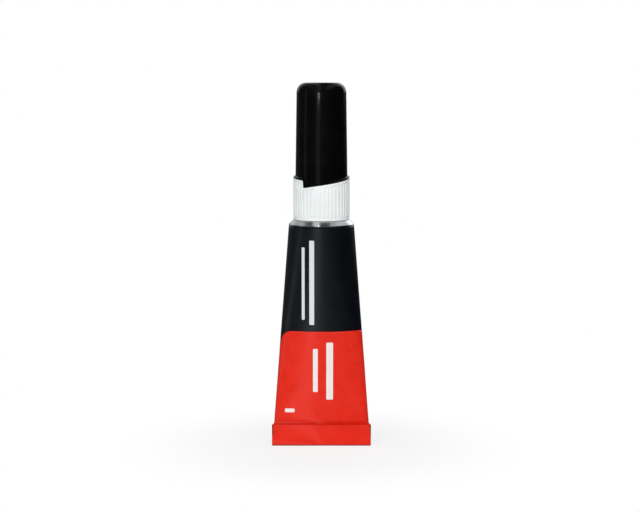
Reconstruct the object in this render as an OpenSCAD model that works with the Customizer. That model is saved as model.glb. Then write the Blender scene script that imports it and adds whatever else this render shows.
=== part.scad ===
// Super glue tube: a soft metal tube with a folded end, a screw-on nozzle and a stepped screw cap.
// It stands on its folded end at z = 0, with the printed front towards -Y and the cap up +Z.
// All lengths are in millimetres.

/* [Sleeve] */
// Outer diameter of the sleeve's round end
tube_d = 13.5; // [12:0.1:18]
// Height of the sleeve between the fold and the shoulder
sleeve_h = 42.1; // [30:0.1:80]
// Thickness of the metal sheet
sheet_t = 0.15; // [0.1:0.01:0.25]
// Depth of the belly from front to back, just above the fold
belly_d = 2.6; // [1.6:0.1:5]
// Height over which the belly closes onto the fold
pinch_h = 0.7; // [0.4:0.1:2]
// Height of the liquid above the fold
fill_h = 30.9; // [5:0.1:40]
// Play between the liquid and the sheet
fill_gap = 0.03; // [0.01:0.01:0.1]

/* [Fold] */
// Height of the folded end
fold_h = 4.5; // [3:0.1:8]
// Thickness of the sealing film between the two sheets
film_t = 0.06; // [0.03:0.01:0.12]
// Play between the pressed layers
layer_gap = 0.05; // [0.02:0.01:0.1]
// Radius of the fold's pressed outer corners
fold_corner_r = 0.25; // [0.1:0.05:0.35]
// Width lost at each side when the sleeve is pressed flat
edge_loss = 0.12; // [0:0.01:0.3]

/* [Printed panel] */
// Height of the panel's top edge above the fold
panel_h = 20.2; // [8:0.1:30]
// Radius of the panel's top corners
panel_corner_r = 2.4; // [0.5:0.1:4]
// Thickness of the printed coat
print_t = 0.04; // [0.02:0.01:0.1]

/* [Shoulder and neck] */
// Slope of the shoulder's cone, in degrees
shoulder_slope = 36; // [25:1:45]
// Height of the shoulder's upright rim
rim_h = 0.12; // [0.05:0.01:0.5]
// Thickness of the shoulder
shoulder_t = 0.55; // [0.3:0.05:1]
// Thickness of the neck's wall under its thread
neck_wall = 1.1; // [0.6:0.05:1.4]
// Height of the neck above the shoulder
neck_h = 3.6; // [3:0.1:6]
// Pitch of the neck's thread
neck_pitch = 1.2; // [1:0.05:1.5]
// Height of the neck's thread ridge
neck_ridge_h = 0.4; // [0.2:0.05:0.5]
// Radial play of the neck's thread
neck_play = 0.1; // [0.05:0.01:0.15]
// Thickness of the membrane on the neck
membrane_t = 0.12; // [0.05:0.01:0.3]
// Width of the membrane's seat on the neck's rim
membrane_seat_w = 0.6; // [0.3:0.05:0.9]

/* [Nozzle collar] */
// Width of the collar beyond the cap's lip
ledge_w = 0.18; // [0.1:0.02:0.6]
// Gap between the collar and the shoulder
seat_gap = 0.35; // [0.2:0.05:0.6]
// Thickness of the collar's outer skirt
skirt_t = 0.8; // [0.6:0.05:1]
// Width of the recess inside the skirt
recess_w = 0.48; // [0.3:0.02:0.8]
// Thickness of the threaded socket inside the collar
socket_t = 0.75; // [0.6:0.05:0.9]
// Thickness of the collar's deck over the neck
deck_t = 0.9; // [0.6:0.05:1.5]
// Number of grip ribs
rib_n = 44; // [24:1:60]
// Radius of the round grooves between the ribs
groove_r = 0.3; // [0.2:0.02:0.36]
// Depth of the grooves between the ribs
groove_depth = 0.12; // [0.06:0.02:0.2]
// Height of the plain band at each end of the ribs
plain_band_h = 0.7; // [0.4:0.05:1.2]

/* [Stepped edge and cap thread] */
// Height of the step in the edge between cap and collar
step_h = 1.7; // [1:0.1:2.4]
// Turn from the foot of each ramp to its top, in degrees
ramp_turn = 130; // [90:5:150]
// Direction of the first step, in degrees from +X
step_dir = -131; // [-180:1:180]
// Gap along the stepped edge
edge_gap = 0.1; // [0.05:0.01:0.2]
// Radial play of the cap's thread
cap_play = 0.2; // [0.1:0.02:0.3]
// Height of the spigot above the top of the step
spigot_h = 4.1; // [3.8:0.1:6]
// Height of the cap's thread ridges
cap_ridge_h = 0.5; // [0.3:0.05:0.55]
// Width of the cap's thread ridges at the root
cap_ridge_w = 0.95; // [0.6:0.05:1.1]
// Turn along which each cap ridge runs, in degrees
cap_ridge_turn = 170; // [90:5:180]

/* [Nozzle spout] */
// Diameter of the spout's stem in the collar
stem_d = 4.2; // [3.8:0.1:4.6]
// Play between the spout and the collar
swivel_play = 0.1; // [0.05:0.01:0.15]
// Thickness of the spout's flange
flange_t = 0.5; // [0.3:0.05:0.8]
// Width of the spout's flange and of its snap bead beyond the stem
flange_w = 0.7; // [0.4:0.05:0.9]
// Height of the snap bead
bead_h = 0.8; // [0.5:0.05:1.2]
// Diameter of the tip's end
tip_d = 2.1; // [1.7:0.1:2.4]
// Diameter of the outlet
outlet_d = 0.9; // [0.7:0.05:1.2]
// Length of the narrow outlet
outlet_l = 4.5; // [2:0.1:6]
// Diameter of the wider channel below the outlet
channel_d = 1.8; // [1.4:0.1:2.2]
// Length of the piercing spike below the flange
spike_l = 2.4; // [1.5:0.1:3]
// Diameter of the spike at its root
spike_d = 2; // [1.8:0.1:2.6]
// Play between the spike and the membrane
spike_play = 0.12; // [0.08:0.01:0.3]

/* [Cap] */
// Height of the cap above the top of the step
cap_h = 19.55; // [18:0.05:24]
// Diameter of the cap at the top of the step
cap_base_d = 10.7; // [10.5:0.05:11]
// Diameter of the cap at its top
cap_top_d = 9.95; // [9.6:0.05:10.6]
// Radius of the cap's top corner
cap_corner_r = 1.6; // [0.5:0.1:2]
// Thickness of the cap's wall
cap_wall = 0.9; // [0.8:0.05:0.95]
// Thickness of the cap's top
roof_t = 1; // [0.8:0.05:1.5]
// Height of the lip along the stepped edge
lip_h = 0.5; // [0.3:0.05:1]
// Width of the lip beyond the cap
lip_w = 0.3; // [0.1:0.02:0.4]

/* [Cap liner and pin] */
// Thickness of the liner between the spout's tip and the cap's top
liner_web = 3.35; // [2.4:0.05:5]
// Diameter of the liner
liner_d = 4.8; // [4.4:0.1:5.2]
// Thickness of the liner's rim in the cap
liner_rim_t = 0.6; // [0.4:0.05:0.8]
// Width of the liner's rim beyond its body
liner_rim_w = 0.5; // [0.3:0.05:0.6]
// Depth to which the liner goes over the spout's tip
liner_depth = 0.9; // [0.5:0.05:1.5]
// Play between the liner and the spout's tip
liner_play = 0.15; // [0.1:0.01:0.2]
// Thickness of the ring that holds the liner in the cap
holder_t = 0.6; // [0.4:0.05:0.7]
// Height of the catch below the liner's rim
catch_h = 0.7; // [0.4:0.05:1]
// Diameter of the pin
pin_d = 0.56; // [0.4:0.02:0.6]
// Length of the pin in the outlet
pin_reach = 3; // [1:0.1:4]
// Length of the pin in the liner
pin_hold = 1.8; // [1:0.1:2.4]

/* [Hidden] */

// How far a cut runs past the face that it opens
overrun = 0.5;
// Thickness of the thin slices between which the sleeve is stretched
slice_t = 0.01;
$fn = 64;

// A ridge's root and crest widths, as shares of the neck's pitch
neck_root_share = 0.42;
neck_crest_share = 0.2;
// A cap ridge's crest width, as a share of its root width
cap_crest_share = 0.48;
// Width of the spike's end, as a share of its root
spike_end_share = 0.62;
// Turn between the rings of a swept ridge or edge, in degrees
ridge_step = 15;
edge_step = 5;
// Number of equal ramps round the stepped edge, and turn that each takes up
ramp_n = 2;
ramp_span = 360 / ramp_n;
// Steps along a ramp, and direction of the turned bodies' seams, between two of those steps
ramp_steps = ceil(ramp_turn / edge_step);
seam_dir = step_dir + ramp_turn / ramp_steps / 2;

// Sleeve
tube_r = tube_d / 2;
belly_half_d = belly_d / 2;
// The girth stays the same down the sleeve, so the belly widens as it gets shallow
belly_half_w = belly_half_d + PI / 2 * (tube_r - belly_half_d);
pack_t = 2 * sheet_t + film_t;
fold_t = 3 * pack_t + 2 * layer_gap;
fold_w = PI / 2 * (tube_d - sheet_t) - 2 * edge_loss;
film_w = fold_w - 2 * sheet_t;
flap_h = fold_h - layer_gap;
front_y = (pack_t - fold_t) / 2;
inner_y = 0;
back_y = -front_y;
belly_z = fold_h + pinch_h;
tube_z = fold_h + sleeve_h;
panel_top = fold_h + panel_h;
panel_half_w = half_w_at(panel_top);

// Radii, inwards from the cap's lip to the neck's bore, and from the cap to the spigot
lip_r = cap_base_d / 2 + lip_w;
collar_r = lip_r + ledge_w;
skirt_in_r = collar_r - skirt_t;
socket_out_r = skirt_in_r - recess_w;
socket_r = socket_out_r - socket_t;
neck_r = socket_r - neck_play - neck_ridge_h;
neck_bore_r = neck_r - neck_wall;
spigot_r = cap_base_d / 2 - cap_wall - cap_play - cap_ridge_h;

// Shoulder and neck
neck_z = shoulder_z(neck_r);
neck_top = neck_z + neck_h;
neck_root_w = neck_pitch * neck_root_share;
neck_crest_w = neck_pitch * neck_crest_share;
neck_ridge_z = neck_z + neck_root_w;
neck_ridge_turn = (neck_h - 2 * neck_root_w) / neck_pitch * 360;
membrane_r = neck_bore_r + membrane_seat_w;

// Nozzle, upwards from the membrane
stem_r = stem_d / 2;
flange_r = stem_r + flange_w;
flange_z = neck_top + membrane_t + swivel_play;
deck_z = flange_z + flange_t + swivel_play;
ramp_z = deck_z + deck_t;
step_z = ramp_z + step_h;
spigot_top = step_z + spigot_h;
bead_z = spigot_top + swivel_play;
tip_z = bead_z + bead_h;
tip_r = tip_d / 2;
outlet_r = outlet_d / 2;
channel_r = channel_d / 2;
spike_r = spike_d / 2;
stem_bore_r = stem_r + swivel_play;

// Cap thread: its lead follows the ramp, so that edge and thread part alike
cap_lead = step_h * 360 / ramp_turn;
cap_ridge_z = step_z + cap_ridge_w;
cap_crest_w = cap_ridge_w * cap_crest_share;

// Cap, downwards from its top to the spout's tip
cap_top = step_z + cap_h;
cap_roof = cap_top - roof_t;
liner_r = liner_d / 2;
liner_top = cap_roof - swivel_play;
liner_rim_r = liner_r + liner_rim_w;
liner_rim_z = liner_top - liner_rim_t;
seal_z = liner_top - liner_web;
tip_top = seal_z - edge_gap;
tip_h = tip_top - tip_z;
liner_z = tip_top - liner_depth;
holder_r = liner_rim_r + swivel_play;
catch_top = liner_rim_z - swivel_play;
pin_r = pin_d / 2;

// Half the sleeve's width at a height between the belly and the shoulder
function half_w_at(z) =
    tube_r + (belly_half_w - tube_r) * (tube_z - z) / (tube_z - belly_z);

// Height of the shoulder's outer face at a radius
function shoulder_z(r) = tube_z + rim_h + (tube_r - r) * tan(shoulder_slope);

// Radius of the cap's outside at a height
function cap_r_at(z) = (cap_base_d + (cap_top_d - cap_base_d) * (z - step_z) / cap_h) / 2;

// Radius of the spout's tip at a height
function tip_r_at(z) = stem_r + (tip_r - stem_r) * (z - tip_z) / tip_h;

// Rise of the stepped edge at a turn past the foot of its ramp
function edge_rise(turn) = step_h * min(turn / ramp_turn, 1);

// A point at a radius, a turn and a height
function polar(r, turn, z) = [r * cos(turn), r * sin(turn), z];

// A solid through rings of four points each, which follow each other anticlockwise
module swept(rings) {
    last = 4 * (len(rings) - 1);
    sides = [for (k = [0:4:last - 1]) for (j = [0:3]) [k + j, k + (j + 1) % 4]];
    polyhedron(
        points = [for (ring = rings) for (p = ring) p],
        faces = concat(
            [[0, 2, 1], [0, 3, 2]],
            [for (s = sides) [s[0], s[1], s[1] + 4]],
            [for (s = sides) [s[0], s[1] + 4, s[0] + 4]],
            [[last, last + 1, last + 2], [last, last + 2, last + 3]]
        )
    );
}

// A helical ridge between two radii, with its width at each, from z up over a turn
module ridge(in_r, in_w, out_r, out_w, lead, z, turn) {
    steps = ceil(turn / ridge_step);
    swept([for (i = [0:steps]) let (a = turn * i / steps, c = z + lead * a / 360) [
        polar(in_r, a, c - in_w / 2),
        polar(out_r, a, c - out_w / 2),
        polar(out_r, a, c + out_w / 2),
        polar(in_r, a, c + in_w / 2)
    ]]);
}

// Everything between two heights above the stepped edge, out to a radius
module edge_band(low, high, in_r, out_r) {
    flat_turn = ramp_span - ramp_turn;
    flat_steps = ceil(flat_turn / edge_step);
    turns = concat(
        [for (i = [0:ramp_steps]) ramp_turn * i / ramp_steps],
        [for (i = [1:flat_steps]) ramp_turn + flat_turn * i / flat_steps]
    );
    for (k = [0:ramp_n - 1]) rotate(step_dir + k * ramp_span)
        swept([for (a = turns) let (z = ramp_z + edge_rise(a)) [
            polar(in_r, a, z + low),
            polar(out_r, a, z + low),
            polar(out_r, a, z + high),
            polar(in_r, a, z + high)
        ]]);
}

// A flat shape with round ends, seen from above
module slot(half_w, half_d, h) {
    linear_extrude(h) {
        square([2 * (half_w - half_d), 2 * half_d], center = true);
        for (side = [-1, 1]) translate([side * (half_w - half_d), 0]) circle(half_d);
    }
}

// The sleeve's body, round at the top and flat at the bottom, grown all round
// and run past both ends
module sleeve_form(grow, past) {
    hull() {
        translate([0, 0, tube_z - slice_t]) cylinder(r = tube_r + grow, h = slice_t + past);
        translate([0, front_y, belly_z]) slot(belly_half_w + grow, belly_half_d + grow, slice_t);
    }
    hull() {
        translate([0, front_y, belly_z]) slot(belly_half_w + grow, belly_half_d + grow, slice_t);
        translate([0, front_y, fold_h - past])
            slot(fold_w / 2 + grow, pack_t / 2 + grow, slice_t + past);
    }
}

module tube_sleeve() {
    color("#23272d") difference() {
        sleeve_form(0, 0);
        sleeve_form(-sheet_t, overrun);
    }
}

// Front outline of the panel, with round top corners
module panel_outline() {
    round_z = panel_top - panel_corner_r;
    half_w = panel_half_w - panel_corner_r;
    translate([-fold_w / 2, belly_z]) square([fold_w, round_z - belly_z]);
    translate([-half_w, belly_z]) square([2 * half_w, panel_top - belly_z]);
    for (side = [-1, 1]) translate([side * half_w, round_z]) circle(panel_corner_r);
}

module red_panel() {
    color("#dc2a1e") intersection() {
        difference() {
            sleeve_form(print_t, 0);
            sleeve_form(0, overrun);
        }
        translate([0, front_y, 0]) rotate([90, 0, 0]) linear_extrude(tube_d) panel_outline();
    }
}

// A straight run of the film between two places in the fold's section
module film_run(from, to) {
    translate(from - [film_t / 2, film_t / 2]) square(to - from + [film_t, film_t]);
}

// The film in the fold's section: down the front, round the foot, up the back and down inside
module film_section() {
    foot = pack_t / 2;
    top = flap_h - pack_t / 2;
    film_run([front_y, foot], [front_y, fold_h - film_t / 2]);
    film_run([front_y, foot], [back_y, foot]);
    film_run([back_y, foot], [back_y, top]);
    film_run([inner_y, top], [back_y, top]);
    film_run([inner_y, pack_t + layer_gap + film_t / 2], [inner_y, top]);
}

// Outer outline of the fold's section, pressed square with round corners
module fold_outline() {
    half_t = fold_t / 2;
    corner_y = half_t - fold_corner_r;
    translate([-half_t, fold_corner_r]) square([pack_t, fold_h - fold_corner_r]);
    translate([-half_t, fold_corner_r]) square([fold_t, flap_h - 2 * fold_corner_r]);
    translate([-corner_y, 0]) square([2 * corner_y, flap_h]);
    for (side = [-1, 1]) translate([side * corner_y, fold_corner_r]) circle(fold_corner_r);
    translate([corner_y, flap_h - fold_corner_r]) circle(fold_corner_r);
}

// The play round the inner layer of the fold's section
module fold_play() {
    front_gap_y = front_y + pack_t / 2;
    back_gap_y = back_y - pack_t / 2 - layer_gap;
    translate([front_gap_y, pack_t]) square([layer_gap, fold_h - pack_t + overrun]);
    translate([back_gap_y, pack_t]) square([layer_gap, flap_h - 2 * pack_t]);
    translate([front_gap_y, pack_t]) square([back_gap_y - front_gap_y + layer_gap, layer_gap]);
}

module across(w) {
    rotate([90, 0, 90]) linear_extrude(w, center = true) children();
}

module end_fold() {
    color("#d8291d") difference() {
        across(fold_w) difference() {
            fold_outline();
            fold_play();
        }
        across(film_w) film_section();
    }
}

module end_seal() {
    color("#d9d2b8") across(film_w) film_section();
}

module glue_fill() {
    color("#e9efe6") intersection() {
        sleeve_form(-sheet_t - fill_gap, 0);
        translate([-fold_w / 2, -tube_r, fold_h]) cube([fold_w, tube_d, fill_h]);
    }
}

module tube_shoulder() {
    under = shoulder_t / cos(shoulder_slope);
    foot_r = tube_r - (under - rim_h) / tan(shoulder_slope);
    color("#b9bcc0") {
        rotate_extrude() polygon([
            [tube_r, tube_z],
            [tube_r, tube_z + rim_h],
            [neck_r, neck_z],
            [neck_r, neck_top],
            [neck_bore_r, neck_top],
            [neck_bore_r, shoulder_z(neck_bore_r) - under],
            [foot_r, tube_z]
        ]);
        ridge(neck_r - neck_play, neck_root_w, neck_r + neck_ridge_h, neck_crest_w,
              neck_pitch, neck_ridge_z, neck_ridge_turn);
    }
}

module neck_membrane() {
    color("#c9ccd0") translate([0, 0, neck_top]) difference() {
        cylinder(r = membrane_r, h = membrane_t);
        translate([0, 0, -overrun]) cylinder(r = spike_r + spike_play, h = membrane_t + 2 * overrun);
    }
}

module nozzle_spout() {
    spike_end_r = spike_r * spike_end_share;
    color("#f4f5f3") rotate_extrude() polygon([
        [outlet_r, flange_z - spike_l],
        [spike_end_r, flange_z - spike_l],
        [spike_r, flange_z],
        [flange_r, flange_z],
        [flange_r, flange_z + flange_t],
        [stem_r, flange_z + flange_t],
        [stem_r, bead_z],
        [flange_r, bead_z],
        [stem_r, tip_z],
        [tip_r, tip_top],
        [outlet_r, tip_top],
        [outlet_r, tip_top - outlet_l],
        [channel_r, tip_top - outlet_l - channel_r + outlet_r],
        [channel_r, flange_z + channel_r - outlet_r],
        [outlet_r, flange_z]
    ]);
}

// The collar's body to just past the top of the step, before its edge is cut
module collar_body() {
    recess_z = deck_z - swivel_play;
    raw_top = step_z + overrun / 2;
    rotate(seam_dir) rotate_extrude() polygon([
        [collar_r, shoulder_z(collar_r) + seat_gap],
        [collar_r, raw_top],
        [stem_bore_r, raw_top],
        [stem_bore_r, deck_z],
        [socket_r, deck_z],
        [socket_r, shoulder_z(socket_r) + seat_gap],
        [socket_out_r, shoulder_z(socket_out_r) + seat_gap],
        [socket_out_r, recess_z],
        [skirt_in_r, recess_z],
        [skirt_in_r, shoulder_z(skirt_in_r) + seat_gap]
    ]);
}

module grip_grooves() {
    low = shoulder_z(collar_r) + seat_gap + plain_band_h;
    high = ramp_z - plain_band_h;
    for (k = [0:rib_n - 1]) rotate(seam_dir + 360 * (k + 0.5) / rib_n)
        translate([collar_r - groove_depth + groove_r, 0, low]) cylinder(r = groove_r, h = high - low);
}

module nozzle_collar() {
    color("#eef0ef") {
        difference() {
            collar_body();
            edge_band(0, step_h + overrun, stem_r, collar_r + overrun);
            grip_grooves();
        }
        translate([0, 0, deck_z]) rotate(seam_dir) difference() {
            cylinder(r = spigot_r, h = spigot_top - deck_z);
            translate([0, 0, -overrun]) cylinder(r = stem_bore_r, h = spigot_top - deck_z + 2 * overrun);
        }
        // The socket's ridge runs midway between the turns of the neck's
        ridge(socket_r - neck_ridge_h, neck_crest_w, socket_r + neck_play, neck_root_w,
              neck_pitch, neck_ridge_z + neck_pitch / 2, neck_ridge_turn);
        for (k = [0:ramp_n - 1]) rotate(k * ramp_span)
            ridge(spigot_r - swivel_play, cap_ridge_w, spigot_r + cap_ridge_h, cap_crest_w,
                  cap_lead, cap_ridge_z, cap_ridge_turn);
    }
}

module cap_liner() {
    socket_liner_r = tip_r_at(liner_z) + liner_play;
    color("#e4e6e2") rotate_extrude() polygon([
        [socket_liner_r, liner_z],
        [liner_r, liner_z],
        [liner_r, liner_rim_z],
        [liner_rim_r, liner_rim_z],
        [liner_rim_r, liner_top],
        [0, liner_top],
        [0, seal_z + pin_hold],
        [pin_r, seal_z + pin_hold],
        [pin_r, seal_z],
        [socket_liner_r, seal_z]
    ]);
}

module clog_pin() {
    color("#a9adb2") translate([0, 0, tip_top - pin_reach])
        cylinder(r = pin_r, h = seal_z + pin_hold - tip_top + pin_reach);
}

// The cap's outside, with a round top corner
module cap_outline() {
    corner_z = cap_top - cap_corner_r;
    corner_r = cap_r_at(corner_z) - cap_corner_r;
    polygon([
        [0, ramp_z],
        [cap_r_at(ramp_z), ramp_z],
        [cap_r_at(corner_z), corner_z],
        [corner_r, cap_top],
        [0, cap_top]
    ]);
    translate([corner_r, corner_z]) circle(cap_corner_r);
}

module cap_hollow() {
    polygon([
        [0, ramp_z - overrun],
        [cap_r_at(ramp_z - overrun) - cap_wall, ramp_z - overrun],
        [cap_r_at(cap_roof) - cap_wall, cap_roof],
        [0, cap_roof]
    ]);
}

// The ring under the cap's top that the liner snaps into
module liner_holder() {
    catch_z = catch_top - catch_h;
    rotate(seam_dir) rotate_extrude() polygon([
        [holder_r, cap_roof],
        [holder_r, catch_top],
        [liner_r + swivel_play, catch_top],
        [liner_r + swivel_play, catch_z],
        [holder_r + holder_t, catch_z],
        [holder_r + holder_t, cap_roof + roof_t / 2],
        [holder_r, cap_roof + roof_t / 2]
    ]);
}

module cap_shell() {
    color("#15171a") {
        difference() {
            rotate(seam_dir) rotate_extrude() difference() {
                cap_outline();
                cap_hollow();
            }
            edge_band(-step_h - overrun, edge_gap, stem_r, collar_r + overrun);
        }
        intersection() {
            translate([0, 0, ramp_z]) rotate(seam_dir) difference() {
                cylinder(r = lip_r, h = step_h + edge_gap + lip_h + overrun);
                translate([0, 0, -overrun])
                    cylinder(r = cap_base_d / 2 - cap_wall / 2, h = step_h + edge_gap + lip_h + 3 * overrun);
            }
            edge_band(edge_gap, edge_gap + lip_h, stem_r, collar_r + overrun);
        }
        liner_holder();
        // The cap's ridges run midway between the turns of the spigot's
        for (k = [0:ramp_n - 1]) rotate(ramp_span / 2 + k * ramp_span)
            ridge(spigot_r + swivel_play, cap_crest_w, cap_base_d / 2 - cap_wall / 2, cap_ridge_w,
                  cap_lead, cap_ridge_z, cap_ridge_turn);
    }
}

tube_sleeve();
red_panel();
end_fold();
end_seal();
glue_fill();
tube_shoulder();
neck_membrane();
nozzle_spout();
nozzle_collar();
cap_liner();
clog_pin();
cap_shell();
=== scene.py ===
import math

import bmesh
import bpy
from mathutils import Matrix, Vector


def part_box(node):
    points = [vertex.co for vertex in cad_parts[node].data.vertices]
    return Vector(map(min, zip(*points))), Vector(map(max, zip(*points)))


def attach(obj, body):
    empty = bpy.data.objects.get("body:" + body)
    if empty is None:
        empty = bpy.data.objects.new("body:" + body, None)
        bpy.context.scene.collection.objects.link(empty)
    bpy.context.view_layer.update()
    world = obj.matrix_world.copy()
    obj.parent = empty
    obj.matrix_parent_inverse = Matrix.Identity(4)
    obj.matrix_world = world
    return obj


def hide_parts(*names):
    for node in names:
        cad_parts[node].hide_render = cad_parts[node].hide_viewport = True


# Super glue tube: soft metal sleeve with a folded end, ribbed screw nozzle and stepped screw cap.
# Sizes are in millimetres and are brought to metres as each mesh is made.
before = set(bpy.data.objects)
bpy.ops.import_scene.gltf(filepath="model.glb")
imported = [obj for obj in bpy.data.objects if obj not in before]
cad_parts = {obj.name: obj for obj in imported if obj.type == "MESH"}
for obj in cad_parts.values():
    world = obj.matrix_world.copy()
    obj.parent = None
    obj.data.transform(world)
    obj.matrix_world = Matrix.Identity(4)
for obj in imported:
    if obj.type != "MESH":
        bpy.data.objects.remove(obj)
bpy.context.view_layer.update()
toMetres = 0.001


def boxOf(node):
    low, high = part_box(node)
    return low / toMetres, high / toMetres


foldLow, foldHigh = boxOf("end_fold")
panelHigh = boxOf("red_panel")[1]
glueLow, glueHigh = boxOf("glue_fill")
shoulderLow, shoulderHigh = boxOf("tube_shoulder")
spoutLow, spoutHigh = boxOf("nozzle_spout")
collarHigh = boxOf("nozzle_collar")[1]
linerLow, linerHigh = boxOf("cap_liner")
pinLow, pinHigh = boxOf("clog_pin")
capLow, capHigh = boxOf("cap_shell")
print("frame: parts read, tube top at", round(capHigh.z, 2), "mm")


# Node helpers, for shaders and for geometry

def addNode(tree, kind, inputs=None, **settings):
    made = tree.nodes.new(kind)
    for key, value in settings.items():
        setattr(made, key, value)
    for key, value in (inputs or {}).items():
        if isinstance(value, bpy.types.NodeSocket):
            tree.links.new(value, made.inputs[key])
        else:
            made.inputs[key].default_value = value
    return made


def calc(tree, operation, *values):
    return addNode(tree, "ShaderNodeMath", dict(enumerate(values)), operation=operation).outputs[0]


def plus(tree, first, *others):
    for other in others:
        first = calc(tree, "ADD", first, other)
    return first


def minus(tree, first, second):
    return calc(tree, "SUBTRACT", first, second)


def times(tree, first, *others):
    for other in others:
        first = calc(tree, "MULTIPLY", first, other)
    return first


def blended(tree, first, second, share):
    return calc(tree, "MULTIPLY_ADD", minus(tree, second, first), share, first)


def clamped(tree, value, low=0.0, high=1.0):
    return addNode(tree, "ShaderNodeClamp", {"Value": value, "Min": low, "Max": high}).outputs[0]


def remapped(tree, value, fromLow, fromHigh, toLow=0.0, toHigh=1.0, soft=False):
    kind = "SMOOTHSTEP" if soft else "LINEAR"
    inputs = {0: value, 1: fromLow, 2: fromHigh, 3: toLow, 4: toHigh}
    return addNode(tree, "ShaderNodeMapRange", inputs, interpolation_type=kind).outputs[0]


def partsOf(tree, vector):
    return addNode(tree, "ShaderNodeSeparateXYZ", {0: vector}).outputs


def vectorOf(tree, **parts):
    return addNode(tree, "ShaderNodeCombineXYZ", parts).outputs[0]


def vectorCalc(tree, operation, inputs, output=0):
    return addNode(tree, "ShaderNodeVectorMath", inputs, operation=operation).outputs[output]


def mixedColour(tree, factor, first, second):
    # the node's colour sockets are numbers 6 and 7, and 2 on the way out
    return addNode(tree, "ShaderNodeMix", {0: factor, 6: first, 7: second}, data_type="RGBA").outputs[2]


def ramped(tree, value, stops):
    # grey level by value, through stops of (place, level)
    made = addNode(tree, "ShaderNodeValToRGB", {0: value})
    marks = made.color_ramp.elements
    marks.remove(marks[1])
    marks[0].position = stops[0][0]
    marks[0].color = (stops[0][1],) * 3 + (1,)
    for place, level in stops[1:]:
        marks.new(place).color = (level,) * 3 + (1,)
    return made.outputs[0]


def noise(tree, position, size, detail=2.0, roughness=0.5):
    inputs = {"Vector": position, "Scale": 1.0 / size, "Detail": detail, "Roughness": roughness}
    return addNode(tree, "ShaderNodeTexNoise", inputs).outputs[0]


# Shared surface effects

def newGroup(name, inputs, outputs):
    # each group takes a position in millimetres, and plain numbers
    group = bpy.data.node_groups.new(name, "ShaderNodeTree")
    group.interface.new_socket("Position", in_out="INPUT", socket_type="NodeSocketVector")
    for way, labels in (("INPUT", inputs), ("OUTPUT", outputs)):
        for label in labels:
            group.interface.new_socket(label, in_out=way, socket_type="NodeSocketFloat")
    given = group.nodes.new("NodeGroupInput").outputs
    result = group.nodes.new("NodeGroupOutput").inputs
    return group, given, result


grainSizes = {
    "fine": 1.0, "fineDetail": 3.0, "fineRough": 0.55, "fineShare": 0.45, "slow": 17.0, "slowShare": 0.55,
    "glossRange": (0.32, 0.68), "toneRange": (0.3, 0.7),
}


def makeGrainGroup():
    # slow and fine unevenness of a finish: gloss, relief and tone
    size = grainSizes
    outputs = ["Roughness", "Relief", "Tone"]
    group, given, result = newGroup("surfaceGrain", ["Fineness", "Dull", "Glossy"], outputs)
    scaled = vectorCalc(group, "SCALE", {0: given["Position"], "Scale": given["Fineness"]})
    fine = noise(group, scaled, size["fine"], size["fineDetail"], size["fineRough"])
    slow = noise(group, scaled, size["slow"])
    both = plus(group, times(group, fine, size["fineShare"]), times(group, slow, size["slowShare"]))
    level = remapped(group, both, *size["glossRange"], given["Glossy"], given["Dull"])
    group.links.new(level, result["Roughness"])
    group.links.new(fine, result["Relief"])
    group.links.new(remapped(group, slow, *size["toneRange"]), result["Tone"])
    return group


rubSizes = {
    "lean": (0.25, 0.3, 0.2), "squeeze": (3.2, 3.2, 0.22), "patch": 5.5, "patchRange": (0.48, 0.66),
    "stroke": 0.9, "strokeDetail": 2.0, "strokeRough": 0.6, "strokeRange": (0.66, 0.74),
}


def makeRubGroup():
    # fine scuffs from handling, drawn out along the object
    size = rubSizes
    group, given, result = newGroup("handlingRubs", ["Amount"], ["Mask"])
    inputs = {"Vector": given["Position"], "Rotation": size["lean"], "Scale": size["squeeze"]}
    turned = addNode(group, "ShaderNodeMapping", inputs).outputs[0]
    strokes = noise(group, turned, size["stroke"], size["strokeDetail"], size["strokeRough"])
    patches = noise(group, given["Position"], size["patch"])
    thin = remapped(group, strokes, *size["strokeRange"], soft=True)
    where = remapped(group, patches, *size["patchRange"], soft=True)
    group.links.new(times(group, thin, where, given["Amount"]), result["Mask"])
    return group


barSizes = {"blur": 0.04, "frontRange": (-0.4, -0.2)}


def makeBarGroup():
    # a plain printed bar with round corners, on the front only
    labels = ["Middle X", "Middle Z", "Half Width", "Half Length", "Corner"]
    group, given, result = newGroup("printedBar", labels, ["Mask"])
    place = partsOf(group, given["Position"])

    def past(value, middle, half):
        away = calc(group, "ABSOLUTE", minus(group, value, middle))
        return plus(group, minus(group, away, half), given["Corner"])

    sideways = past(place["X"], given["Middle X"], given["Half Width"])
    endways = past(place["Z"], given["Middle Z"], given["Half Length"])
    outX = calc(group, "MAXIMUM", sideways, 0.0)
    outZ = calc(group, "MAXIMUM", endways, 0.0)
    outside = calc(group, "SQRT", plus(group, times(group, outX, outX), times(group, outZ, outZ)))
    inside = calc(group, "MINIMUM", calc(group, "MAXIMUM", sideways, endways), 0.0)
    distance = minus(group, plus(group, outside, inside), given["Corner"])
    printed = remapped(group, distance, -barSizes["blur"], barSizes["blur"], 1.0, 0.0, soft=True)
    front = remapped(group, place["Y"], *barSizes["frontRange"], 1.0, 0.0)
    group.links.new(times(group, printed, front), result["Mask"])
    return group


ringSizes = {"acrossShare": 0.8, "upShare": 0.6, "detail": 3.0, "rough": 0.6}


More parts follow.
